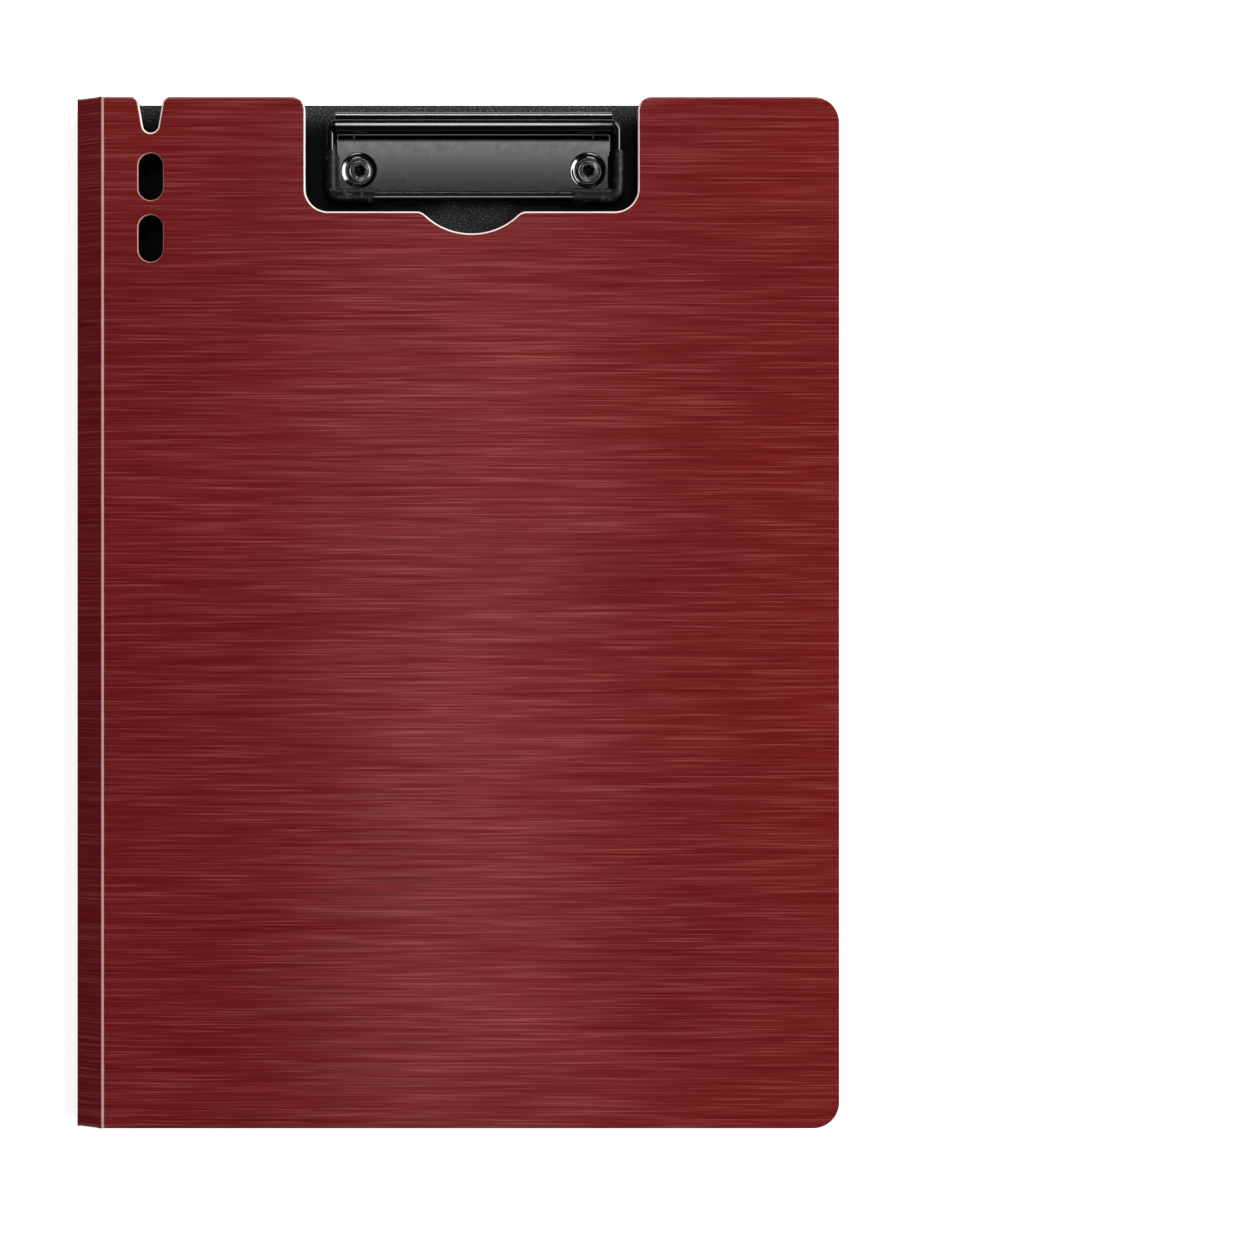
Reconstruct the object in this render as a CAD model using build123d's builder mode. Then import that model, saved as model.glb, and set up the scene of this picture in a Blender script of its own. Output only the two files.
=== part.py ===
from build123d import *
from math import atan2, cos, degrees, hypot, pi, radians, sin, sqrt, tan
import os

# A4 clipboard folder, closed, lying on its back board.
# +X runs from the spine to the free edge, +Y to the clip's end and +Z up.
# The origin is the centre of the back board's outer face. Sizes are in millimetres.

# Folded sheet
folder_height = 315.0
board_width = 230.4
cover_fold_inset = 4.9
spine_rear_width = 6.5
spine_front_width = 7.7
closed_height = 9.0
core_thickness = 1.4
film_thickness = 0.4
corner_radius = 8.0
crease_clearance = 0.05
cut_edge_break = 0.15

# Openings in the cover
window_offset = 0.45
window_side_clearance = 4.7
window_lower_clearance = 3.65
window_inner_radius = 7.0
window_outer_radius = 4.3
scallop_width = 30.5
scallop_depth = 6.7
scallop_blend_radius = 3.5
slot_offset = 15.2
slot_width = 7.5
slot_length = 15.0
slot_pitch = 18.7
first_slot_depth = 24.3
notch_top_width = 7.6
notch_bottom_width = 4.6
notch_depth = 11.0
notch_tip_radius = 2.1
notch_shoulder_radius = 2.2

# Clip plate with its rolled barrel
clip_offset = 0.7
clip_plate_width = 84.6
clip_plate_thickness = 0.8
plate_corner_radius = 1.5
barrel_inset = 7.0
barrel_slit_angle = 25.0
plate_edge_clearance = 0.5

# Bail and its sleeves
bail_wire_diameter = 3.0
bail_reach = 22.1
bail_arm_clearance = 0.35
bail_end_gap = 3.0
sleeve_wall = 0.8
sleeve_leg = 13.6
sleeve_bore_clearance = 0.05
sleeve_inner_bend_radius = 0.15
sleeve_rim_bevel = 0.3
sleeve_board_gap = 0.05

# Torsion springs
spring_wire_diameter = 0.8
spring_wire_sides = 6
spring_turns = 3
spring_pitch = 1.25
spring_clearance = 0.15
spring_leg = 3.3
coil_points_per_turn = 24

# Rivets and the dimples that they sit in
rivet_end_distance = 6.8
rivet_edge_distance = 6.6
rivet_shank_diameter = 3.2
rivet_shank_clearance = 0.05
rivet_head_diameter = 8.0
rivet_head_thickness = 0.35
rivet_head_clearance = 0.05
rivet_front_diameter = 7.4
rivet_front_height = 0.7
rivet_front_rim_height = 0.2
rivet_crown_diameter = 5.4
rivet_bore_diameter = 2.4
rivet_bore_depth = 1.6
rivet_bore_lip = 0.5
rivet_split_width = 0.6
rivet_split_length = 4.0
rivet_split_depth = 0.4
dimple_floor_margin = 0.25
dimple_slope_width = 1.35
dimple_depth = 0.7
dimple_clearance = 0.05

# Sheet, folds and cover openings, from the sizes above
sheet_thickness = core_thickness + film_thickness
free_edge = board_width / 2
top_edge = folder_height / 2
web_radius = film_thickness
fold_setback = web_radius + crease_clearance
cover_width = board_width - cover_fold_inset
cover_fold_x = free_edge - cover_width
board_fold = (-free_edge, film_thickness)
cover_fold = (cover_fold_x, closed_height - film_thickness)
slot_x = cover_fold_x + slot_offset
window_x = cover_fold_x + cover_width / 2 + window_offset

# Bail: round its wire come the spring, then the barrel
bail_wire_radius = bail_wire_diameter / 2
spring_radius = bail_wire_radius + spring_clearance + spring_wire_diameter / 2
barrel_bore_radius = spring_radius + spring_wire_diameter / 2 + spring_clearance
barrel_radius = barrel_bore_radius + clip_plate_thickness
clip_x = window_x + clip_offset
plate_bottom = sheet_thickness
plate_top = plate_bottom + clip_plate_thickness
barrel_y = top_edge - barrel_inset
barrel_z = plate_bottom + barrel_radius
sleeve_bore_radius = bail_wire_radius + sleeve_bore_clearance
sleeve_radius = sleeve_bore_radius + sleeve_wall
bail_bend_radius = sleeve_radius + sleeve_inner_bend_radius
bail_half_width = clip_plate_width / 2 + bail_arm_clearance + bail_wire_radius
bail_drop = barrel_z - (sheet_thickness + sleeve_board_gap + sleeve_radius)
bail_run = sqrt(bail_reach**2 - bail_drop**2)
bail_slope = atan2(bail_drop, bail_run)
bar_y = barrel_y - bail_run

# The window leaves room round the bail, and the plate ends just short of its bar
window_width = 2 * (bail_half_width + sleeve_radius + window_side_clearance)
window_bottom = bar_y - sleeve_radius - window_lower_clearance
plate_edge_y = bar_y + bail_wire_radius + plate_edge_clearance
rivet_y = plate_edge_y + rivet_edge_distance
rivet_run = clip_plate_width / 2 - rivet_end_distance
rivet_places = [(clip_x - rivet_run, rivet_y), (clip_x + rivet_run, rivet_y)]
dimple_floor_radius = rivet_front_diameter / 2 + dimple_floor_margin
dimple_radius = dimple_floor_radius + dimple_slope_width
dimple_floor = plate_top - dimple_depth


def meeting_point(first, second, first_length, second_length):
    """Point at the two given distances from two points, on the spine's side."""
    run = (second[0] - first[0], second[1] - first[1])
    span = hypot(*run)
    along = (first_length**2 - second_length**2 + span**2) / (2 * span)
    across = sqrt(first_length**2 - along**2)
    unit = (run[0] / span, run[1] / span)
    return (
        first[0] + along * unit[0] - across * unit[1],
        first[1] + along * unit[1] + across * unit[0],
    )


def heading(first, second):
    """Direction from one fold to the next in the XZ plane, in degrees."""
    return degrees(atan2(second[1] - first[1], second[0] - first[0]))


middle_fold = meeting_point(board_fold, cover_fold, spine_rear_width, spine_front_width)
rear_heading = heading(board_fold, middle_fold)
front_heading = heading(middle_fold, cover_fold)
rear_fold_angle = 180 - rear_heading
middle_fold_angle = rear_heading - front_heading
front_fold_angle = front_heading

print("board fold x, z", board_fold, "opens", round(rear_fold_angle, 3))
print("middle fold x, z", middle_fold, "opens", round(middle_fold_angle, 3))
print("cover fold x, z", cover_fold, "opens", round(front_fold_angle, 3))
print("bail axis x, y, z", clip_x, barrel_y, barrel_z, "bar y", bar_y, "slope", degrees(bail_slope))

os.makedirs("parts", exist_ok=True)


def save(piece, name):
    """Labels a finished piece and writes it as a file of its own."""
    piece.part.label = name
    export_step(piece.part, f"parts/{name}.step")


def panel_plane(fold, direction):
    """Section plane at a fold: x runs along the panel, y towards the folder's inside."""
    x_dir = (cos(radians(direction)), 0, sin(radians(direction)))
    return Plane(origin=(fold[0], 0, fold[1]), x_dir=x_dir, z_dir=(0, 1, 0))


def groove_lean(fold_angle):
    """How far a fold's groove wall leans back over the thickness of the core."""
    return core_thickness * tan(radians(fold_angle / 2))


def groove_section(fold_angle):
    """Half of a fold's V groove: what is missing from the core that starts at that fold."""
    with BuildSketch() as section:
        Polygon(
            (0, 0),
            (fold_setback, 0),
            (fold_setback + groove_lean(fold_angle), core_thickness),
            (0, core_thickness),
            align=None,
        )
    return section.sketch


# Back board: a plain rectangle with two rounded corners, beside the fold on its left
def board_outline():
    with BuildSketch() as outline:
        with Locations((-free_edge + fold_setback, 0)):
            Rectangle(board_width - fold_setback, folder_height, align=(Align.MIN, Align.CENTER))
        fillet(outline.vertices().group_by(Axis.X)[-1], corner_radius)
    return outline.sketch


with BuildPart() as back_board:
    with BuildSketch(Plane.XY.offset(film_thickness)):
        add(board_outline())
    extrude(amount=core_thickness)
    board_section = Plane(origin=(board_fold[0], 0, board_fold[1]), x_dir=(1, 0, 0), z_dir=(0, -1, 0))
    with BuildSketch(board_section):
        add(groove_section(rear_fold_angle))
    extrude(amount=top_edge, both=True, mode=Mode.SUBTRACT)
    # Seats that the plate's dimples and the rivets press into the sheet
    with Locations(*[(x, y, sheet_thickness - dimple_depth - dimple_clearance) for x, y in rivet_places]):
        Cone(
            dimple_floor_radius + dimple_clearance,
            dimple_radius + 2 * dimple_clearance,
            dimple_depth + dimple_clearance,
            align=(Align.CENTER, Align.CENTER, Align.MIN),
            mode=Mode.SUBTRACT,
        )
    with Locations(*[(x, y, sheet_thickness) for x, y in rivet_places]):
        Hole(rivet_shank_diameter / 2 + rivet_shank_clearance)
save(back_board, "back_board")

with BuildPart() as back_film:
    with BuildSketch():
        add(board_outline())
    extrude(amount=film_thickness)
    outer_face = back_film.faces().sort_by(Axis.Z)[0]
    chamfer(outer_face.edges().sort_by(Axis.X)[1:], cut_edge_break)
    with Locations(*[(x, y, film_thickness) for x, y in rivet_places]):
        Hole(rivet_head_diameter / 2 + rivet_head_clearance)
save(back_film, "back_film")


# Spine: two narrow strips whose long edges lean so that the grooves close when the folder does
def spine_strip(name, first_fold, second_fold, first_angle, second_angle):
    """Core and film of the strip between two folds, set back from each by its web."""
    plane = panel_plane(first_fold, heading(first_fold, second_fold))
    width = hypot(second_fold[0] - first_fold[0], second_fold[1] - first_fold[1])
    with BuildPart() as strip:
        with BuildSketch(plane):
            Polygon(
                (fold_setback, 0),
                (width - fold_setback, 0),
                (width - fold_setback - groove_lean(second_angle), core_thickness),
                (fold_setback + groove_lean(first_angle), core_thickness),
                align=None,
            )
        extrude(amount=top_edge, both=True)
    save(strip, f"{name}_strip")
    with BuildPart() as film:
        with BuildSketch(plane):
            with Locations((fold_setback, -film_thickness)):
                Rectangle(width - 2 * fold_setback, film_thickness, align=(Align.MIN, Align.MIN))
        extrude(amount=top_edge, both=True)
    save(film, f"{name}_film")


spine_strip("spine_rear", board_fold, middle_fold, rear_fold_angle, middle_fold_angle)
spine_strip("spine_front", middle_fold, cover_fold, middle_fold_angle, front_fold_angle)


# Webs: the round bead of film that each pressed fold leaves between two panels
for name, fold in (("rear", board_fold), ("middle", middle_fold), ("front", cover_fold)):
    with BuildPart() as web:
        with BuildSketch(Plane.XZ):
            with Locations(fold):
                Circle(web_radius)
        extrude(amount=top_edge, both=True)
    save(web, f"crease_{name}")


# Cover: the same sheet, cut out round the clip, with a thumb scallop, a notch and two pen slots
def window_outline():
    """Clip window with its round lower corners, joined to the thumb scallop below it."""
    with BuildSketch() as window:
        with Locations((window_x, top_edge)):
            Rectangle(window_width, top_edge - window_bottom, align=(Align.CENTER, Align.MAX))
        fillet(window.vertices().group_by(Axis.Y)[0], window_inner_radius)
        with BuildLine():
            chord = Line(
                (window_x - scallop_width / 2, window_bottom),
                (window_x + scallop_width / 2, window_bottom),
            )
            ThreePointArc(chord @ 0, (window_x, window_bottom - scallop_depth), chord @ 1)
        make_face()
        fillet(window.vertices().group_by(Axis.Y)[0].sort_by(Axis.X)[1:3], scallop_blend_radius)
    return window.sketch


def notch_outline():
    """V notch in the top edge, with a round tip."""
    with BuildSketch() as notch:
        Polygon(
            (slot_x - notch_top_width / 2, top_edge),
            (slot_x - notch_bottom_width / 2, top_edge - notch_depth),
            (slot_x + notch_bottom_width / 2, top_edge - notch_depth),
            (slot_x + notch_top_width / 2, top_edge),
            align=None,
        )
        fillet(notch.vertices().group_by(Axis.Y)[0], notch_tip_radius)
    return notch.sketch


def cover_outline():
    with BuildSketch() as outline:
        with Locations((cover_fold_x + fold_setback, 0)):
            Rectangle(cover_width - fold_setback, folder_height, align=(Align.MIN, Align.CENTER))
        fillet(outline.vertices().group_by(Axis.X)[-1], corner_radius)
        add(window_outline(), mode=Mode.SUBTRACT)
        add(notch_outline(), mode=Mode.SUBTRACT)
        # From the left, the top edge's corners are its own, the notch's two, the window's two
        fillet(outline.vertices().group_by(Axis.Y)[-1].sort_by(Axis.X)[1:3], notch_shoulder_radius)
        fillet(outline.vertices().group_by(Axis.Y)[-1].sort_by(Axis.X)[3:5], window_outer_radius)
        with Locations(
            (slot_x, top_edge - first_slot_depth),
            (slot_x, top_edge - first_slot_depth - slot_pitch),
        ):
            SlotOverall(slot_length, slot_width, rotation=90, mode=Mode.SUBTRACT)
    return outline.sketch


with BuildPart() as cover_board:
    with BuildSketch(Plane.XY.offset(closed_height - sheet_thickness)):
        add(cover_outline())
    extrude(amount=core_thickness)
    with BuildSketch(panel_plane(cover_fold, 0)):
        add(groove_section(front_fold_angle))
    extrude(amount=top_edge, both=True, mode=Mode.SUBTRACT)
save(cover_board, "cover_board")

with BuildPart() as cover_film:
    with BuildSketch(Plane.XY.offset(closed_height - film_thickness)):
        add(cover_outline())
    extrude(amount=film_thickness)
    outer_face = cover_film.faces().sort_by(Axis.Z)[-1]
    chamfer(outer_face.edges().sort_by(Axis.X)[1:], cut_edge_break)
save(cover_film, "cover_film")


# Clip plate: 0.8 mm steel strip, its upper edge rolled into the barrel, dimpled for two rivets
with BuildPart() as clip_plate:
    with BuildSketch(Plane.YZ.offset(clip_x)):
        with Locations((barrel_y, barrel_z)):
            Circle(barrel_radius)
            Circle(barrel_bore_radius, mode=Mode.SUBTRACT)
        # The curl stops short of the plate and leaves the slit that the spring legs come out of
        reach = 2 * barrel_radius
        curl_end = radians(180 + barrel_slit_angle)
        Polygon(
            (barrel_y, barrel_z),
            (barrel_y + reach * cos(curl_end), barrel_z + reach * sin(curl_end)),
            (barrel_y - reach, barrel_z - reach),
            (barrel_y, barrel_z - reach),
            align=None,
            mode=Mode.SUBTRACT,
        )
        with Locations((barrel_y, plate_bottom)):
            Rectangle(barrel_y - plate_edge_y, clip_plate_thickness, align=(Align.MAX, Align.MIN))
    extrude(amount=clip_plate_width / 2, both=True)
    corners = clip_plate.edges().filter_by(Axis.Z).group_by(Axis.Y)[0]
    fillet(corners, plate_corner_radius)
    # Pressed dimples: each stands proud below and is hollow above by the same depth
    with Locations(*[(x, y, plate_bottom - dimple_depth) for x, y in rivet_places]):
        Cone(
            dimple_floor_radius,
            dimple_radius,
            dimple_depth,
            align=(Align.CENTER, Align.CENTER, Align.MIN),
        )
    with Locations(*[(x, y, dimple_floor) for x, y in rivet_places]):
        Cone(
            dimple_floor_radius,
            dimple_radius,
            dimple_depth,
            align=(Align.CENTER, Align.CENTER, Align.MIN),
            mode=Mode.SUBTRACT,
        )
    with Locations(*[(x, y, plate_top) for x, y in rivet_places]):
        Hole(rivet_shank_diameter / 2 + rivet_shank_clearance)
save(clip_plate, "clip_plate")


# Rivets: flat head flush in the back film, shank through sheet and plate, front end flared and split
def rivet_profile():
    head_bottom = film_thickness - rivet_head_thickness
    crown = dimple_floor + rivet_front_height
    head_radius = rivet_head_diameter / 2
    shank_radius = rivet_shank_diameter / 2
    front_radius = rivet_front_diameter / 2
    bore_radius = rivet_bore_diameter / 2
    with BuildSketch(Plane.XZ) as profile:
        with BuildLine():
            Polyline(
                (0, head_bottom),
                (head_radius, head_bottom),
                (head_radius, film_thickness),
                (shank_radius, film_thickness),
                (shank_radius, dimple_floor),
                (front_radius, dimple_floor),
                (front_radius, dimple_floor + rivet_front_rim_height),
                (rivet_crown_diameter / 2, crown),
                (bore_radius + rivet_bore_lip, crown),
                (bore_radius, crown - rivet_bore_lip / 2),
                (bore_radius, crown - rivet_bore_depth),
                (0, crown - rivet_bore_depth),
                (0, head_bottom),
            )
        make_face()
    return profile.sketch


for name, place in zip(("left", "right"), rivet_places):
    with BuildPart() as rivet:
        add(rivet_profile())
        revolve(axis=Axis.Z)
        with BuildSketch(Plane.XY.offset(dimple_floor + rivet_front_height)):
            Rectangle(rivet_split_length, rivet_split_width)
            Rectangle(rivet_split_width, rivet_split_length)
        extrude(amount=-rivet_split_depth, mode=Mode.SUBTRACT)
    rivet.part.position = (*place, 0)
    save(rivet, f"rivet_{name}")


# Bail: one wire, bent four times, whose two ends meet inside the barrel
bail_plane = Plane(
    origin=(clip_x, barrel_y, barrel_z),
    x_dir=(1, 0, 0),
    z_dir=(0, -sin(bail_slope), cos(bail_slope)),
)


def end_plane(path):
    """Plane square to a path at its start, where its round section is drawn."""
    return Plane(origin=path @ 0, z_dir=path % 0)


with BuildPart() as clip_bail:
    with BuildLine(bail_plane) as bail_path:
        FilletPolyline(
            (bail_end_gap / 2, 0),
            (bail_half_width, 0),
            (bail_half_width, -bail_reach),
            (-bail_half_width, -bail_reach),
            (-bail_half_width, 0),
            (-bail_end_gap / 2, 0),
            radius=bail_bend_radius,
        )
    with BuildSketch(end_plane(bail_path.wire())):
        Circle(bail_wire_radius)
    sweep()
save(clip_bail, "clip_bail")


# Sleeves: rubber tube pushed over each lower corner of the bail
for name, side in (("left", -1), ("right", 1)):
    with BuildPart() as sleeve:
        with BuildLine(bail_plane) as sleeve_path:
            FilletPolyline(
                (side * bail_half_width, -bail_reach + sleeve_leg),
                (side * bail_half_width, -bail_reach),
                (side * (bail_half_width - sleeve_leg), -bail_reach),
                radius=bail_bend_radius,
            )
        with BuildSketch(end_plane(sleeve_path.wire())):
            Circle(sleeve_radius)
        sweep()
        chamfer(sleeve.faces().filter_by(GeomType.PLANE).edges(), sleeve_rim_bevel)
        with BuildSketch(end_plane(sleeve_path.wire())):
            Circle(sleeve_bore_radius)
        sweep(path=sleeve_path.wire(), mode=Mode.SUBTRACT)
    save(sleeve, f"sleeve_{name}")


# Torsion springs: a coil round the bail's wire inside the barrel, its inner leg out through the slit
def coil_point(turn, side, inner_x):
    """Place on a spring's coil after this many turns from its inner end, and the wire's direction there."""
    angle = 2 * pi * turn
    place = Vector(
        inner_x + side * spring_pitch * turn,
        barrel_y + spring_radius * sin(angle),
        barrel_z - spring_radius * cos(angle),
    )
    way = Vector(side * spring_pitch / (2 * pi), spring_radius * cos(angle), spring_radius * sin(angle))
    return place, way.normalized()


def least_coil_gap():
    """Least gap between a spring's turns, measured on points that are half a turn or more apart."""
    steps = range(spring_turns * coil_points_per_turn + 1)
    points = [coil_point(step / coil_points_per_turn, 1, 0)[0] for step in steps]
    apart = coil_points_per_turn // 2
    nearest = min((b - a).length for i, a in enumerate(points) for b in points[i + apart :])
    return nearest - spring_wire_diameter


print("spring's least gap to itself", round(least_coil_gap(), 3))


def half_turn_joint(start, start_way, end, end_way):
    """Where the two arcs of a half turn meet, and the wire's direction there."""
    chord = end - start
    along = chord.dot(start_way + end_way)
    spread = 2 * (1 - start_way.dot(end_way))
    arm = (sqrt(along**2 + spread * chord.dot(chord)) - along) / spread
    first = start + start_way * arm
    second = end - end_way * arm
    return (first + second) / 2, (second - first).normalized()


for name, side in (("left", -1), ("right", 1)):
    outer_x = clip_x + side * (
        bail_half_width - bail_bend_radius - spring_clearance - spring_wire_diameter / 2
    )
    inner_x = outer_x - side * spring_pitch * spring_turns
    with BuildPart() as spring:
        with BuildLine() as wire:
            place, way = coil_point(0, side, inner_x)
            Line(place - way * spring_leg, place)
            for half_turn in range(2 * spring_turns):
                next_place, next_way = coil_point((half_turn + 1) / 2, side, inner_x)
                joint, joint_way = half_turn_joint(place, way, next_place, next_way)
                TangentArc(place, joint, tangent=way)
                TangentArc(joint, next_place, tangent=joint_way)
                place, way = next_place, next_way
        with BuildSketch(end_plane(wire.wire())):
            RegularPolygon(spring_wire_diameter / 2, spring_wire_sides)
        sweep(clean=False)
    save(spring, f"clip_spring_{name}")
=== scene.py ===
from math import acos, asin, atan2, ceil, cos, degrees, hypot, pi, radians, sin, sqrt, tan

import bmesh
import bpy
from mathutils import Matrix, Vector


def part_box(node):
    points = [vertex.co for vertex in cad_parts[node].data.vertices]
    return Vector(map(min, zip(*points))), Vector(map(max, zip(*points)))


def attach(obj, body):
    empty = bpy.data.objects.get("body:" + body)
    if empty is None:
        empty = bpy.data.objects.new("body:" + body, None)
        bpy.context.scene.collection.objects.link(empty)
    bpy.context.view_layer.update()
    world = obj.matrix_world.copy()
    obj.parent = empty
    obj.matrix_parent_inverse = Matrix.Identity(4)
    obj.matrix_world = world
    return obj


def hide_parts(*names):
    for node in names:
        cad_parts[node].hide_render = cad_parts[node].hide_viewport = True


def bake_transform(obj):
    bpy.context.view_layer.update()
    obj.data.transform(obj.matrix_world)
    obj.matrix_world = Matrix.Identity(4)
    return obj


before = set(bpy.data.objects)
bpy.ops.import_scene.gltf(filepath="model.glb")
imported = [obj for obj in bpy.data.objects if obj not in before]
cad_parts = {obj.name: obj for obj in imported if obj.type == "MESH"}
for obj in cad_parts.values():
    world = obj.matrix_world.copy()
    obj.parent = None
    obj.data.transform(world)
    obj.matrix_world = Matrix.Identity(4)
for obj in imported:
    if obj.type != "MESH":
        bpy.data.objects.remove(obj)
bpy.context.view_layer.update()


# Back board: extruded polypropylene sheet, black all through, die cut to A4 plus a margin.
# Its two free corners are round, its left edge is the bottom of a pressed groove, and two
# round holes through it take the clip's dimples. The grain of the rolls shows on it as a fine matt leather.
MM = 0.001
ROUND_STEP = radians(6)
COLOUR_RED = 16
COLOUR_GREEN = 8
COLOUR_FULL = 255


def linear(colour):
    """Turns an sRGB hex value into the linear colour that the shaders take."""
    parts = []
    for shift in (COLOUR_RED, COLOUR_GREEN, 0):
        value = (colour >> shift & COLOUR_FULL) / COLOUR_FULL
        parts.append(value / 12.92 if value <= 0.04045 else ((value + 0.055) / 1.055) ** 2.4)
    return (*parts, 1.0)


def new_material(name):
    """Empty node material with its output, ready for add_node."""
    material = bpy.data.materials.new(name)
    material.use_nodes = True
    material.node_tree.nodes.clear()
    return material


def add_node(material, kind, settings=None, inputs=None, output=None):
    """Adds one node: its settings, its input values or links, and a link to the output if asked."""
    tree = material.node_tree
    node = tree.nodes.new(kind)
    for key, value in (settings or {}).items():
        setattr(node, key, value)
    for key, value in (inputs or {}).items():
        if isinstance(value, bpy.types.NodeSocket):
            tree.links.new(value, node.inputs[key])
        else:
            node.inputs[key].default_value = value
    if output:
        tree.links.new(node.outputs[output], add_node(material, "ShaderNodeOutputMaterial").inputs[0])
    return node


def ramp(material, factor, stops):
    """Colour ramp through (place, colour) stops."""
    node = add_node(material, "ShaderNodeValToRGB", inputs={"Fac": factor})
    elements = node.color_ramp.elements
    while len(elements) < len(stops):
        elements.new(0.5)
    for element, (place, colour) in zip(elements, stops):
        element.position = place
        element.color = colour
    return node.outputs["Color"]


def grain(material, size_mm, detail=2.0, roughness=0.5, turn=(0.0, 0.0, 0.0)):
    """Noise on the object's own coordinates, with a real size along X, Y and Z in millimetres."""
    place = add_node(material, "ShaderNodeTexCoord").outputs["Object"]
    scale = tuple(1 / (size * MM) for size in size_mm)
    mapped = add_node(
        material,
        "ShaderNodeMapping",
        inputs={"Vector": place, "Rotation": turn, "Scale": scale},
    )
    noise = add_node(
        material,
        "ShaderNodeTexNoise",
        inputs={"Vector": mapped.outputs["Vector"], "Scale": 1.0, "Detail": detail, "Roughness": roughness},
    )
    return noise.outputs["Fac"]


def black_sheet_material():
    """Polypropylene sheet: near black, with a matt roll grain, and a paler tone painted in as light along the top
    edge and round the thumb scallop.
    """
    material = new_material("black_polypropylene_sheet")
    fine = grain(material, (0.45, 0.45, 0.45), detail=3.0)
    broad = grain(material, (14.0, 9.0, 9.0))
    tone = ramp(material, fine, [(0.35, linear(0x050506)), (0.62, linear(0x080809)), (0.78, linear(0x1C1C1E))])
    place = add_node(material, "ShaderNodeTexCoord").outputs["Object"]
    across = add_node(material, "ShaderNodeSeparateXYZ", inputs={0: place})
    # Painted light: a paler band along the sheet's top edge, where light from beyond that edge falls.
    painted_top_edge_light = add_node(
        material,
        "ShaderNodeMapRange",
        {"interpolation_type": "SMOOTHSTEP"},
        {"Value": across.outputs["Y"], "From Min": 0.147, "From Max": 0.158},
    )
    # Painted light: a paler patch round the thumb scallop, where light reaches the board through the window.
    from_scallop_light = add_node(
        material,
        "ShaderNodeVectorMath",
        {"operation": "DISTANCE"},
        {0: place, 1: (0.0029, 0.114, 0.0018)},
    )
    ragged_scallop_distance = add_node(
        material,
        "ShaderNodeMath",
        {"operation": "MULTIPLY_ADD"},
        {0: grain(material, (7.0, 7.0, 7.0), detail=3.0), 1: 0.03, 2: from_scallop_light.outputs["Value"]},
    )
    painted_scallop_light = add_node(
        material,
        "ShaderNodeMapRange",
        {"interpolation_type": "SMOOTHSTEP"},
        {"Value": ragged_scallop_distance.outputs[0], "From Min": 0.04, "From Max": 0.018, "To Max": 0.55},
    )
    # Where either painted light lies, the sheet takes the paler painted tone below.
    painted_light_mask = add_node(
        material,
        "ShaderNodeMath",
        {"operation": "MAXIMUM"},
        {0: painted_top_edge_light.outputs["Result"], 1: painted_scallop_light.outputs["Result"]},
    )
    # Paler tone that stands in for light falling on the sheet.
    painted_lit_tone = ramp(material, fine, [(0.3, linear(0x212122)), (0.56, linear(0x39393B)), (0.71, linear(0x9C9C9E))])
    colour = add_node(
        material,
        "ShaderNodeMix",
        {"data_type": "RGBA"},
        {0: painted_light_mask.outputs[0], "A": tone, "B": painted_lit_tone},
    )
    rough = ramp(material, broad, [(0.3, (0.3, 0.3, 0.3, 1)), (0.7, (0.36, 0.36, 0.36, 1))])
    bump = add_node(
        material,
        "ShaderNodeBump",
        inputs={"Strength": 0.6, "Distance": 0.05 * MM, "Height": fine},
    )
    add_node(
        material,
        "ShaderNodeBsdfPrincipled",
        inputs={
            "Base Color": colour.outputs["Result"],
            "Roughness": rough,
            "IOR": 1.49,
            "Specular IOR Level": 0.12,
            "Normal": bump.outputs["Normal"],
        },
        output="BSDF",
    )
    return material


def corner_turns(corners):
    """Change of direction at each corner of a closed outline, in radians."""
    turns = []
    for index, corner in enumerate(corners):
        before = Vector(corner[:2]) - Vector(corners[index - 1][:2])
        after = Vector(corners[(index + 1) % len(corners)][:2]) - Vector(corner[:2])
        turns.append(before.angle(after))
    return turns


def fill_outlines(bm, outlines, height):
    """Flat sheet from outlines of (x, y, radius) corners: the first is the edge, the rest are holes."""
    for corners in outlines:
        turns = corner_turns(corners)
        verts = [bm.verts.new((x, y, height)) for x, y, radius in corners]
        bm.faces.new(verts)
        for vert, (x, y, radius), turn in zip(verts, corners, turns):
            if radius > 0:
                bmesh.ops.bevel(
                    bm,
                    geom=[vert],
                    offset=radius * tan(turn / 2),
                    offset_type="OFFSET",
                    segments=ceil(turn / ROUND_STEP),
                    profile=0.5,
                    affect="VERTICES",
                    clamp_overlap=False,
                    material=-1,
                )
    bmesh.ops.remove_doubles(bm, verts=bm.verts, dist=0.001)
    bmesh.ops.delete(bm, geom=bm.faces[:], context="FACES_ONLY")
    bmesh.ops.triangle_fill(bm, edges=bm.edges[:], use_beauty=True, normal=(0, 0, 1))
    bmesh.ops.dissolve_limit(
        bm,
        angle_limit=radians(1),
        verts=[],
        edges=[edge for edge in bm.edges if len(edge.link_faces) == 2],
    )


def cut_sheet(bm, outlines, low, high):
    """Sheet between two heights, die cut to its outlines."""
    fill_outlines(bm, outlines, low)
    lifted = bmesh.ops.extrude_face_region(bm, geom=bm.faces[:], use_keep_orig=True)
    top = [item for item in lifted["geom"] if isinstance(item, bmesh.types.BMVert)]
    bmesh.ops.translate(bm, verts=top, vec=(0, 0, high - low))
    bmesh.ops.recalc_face_normals(bm, faces=bm.faces)


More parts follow.
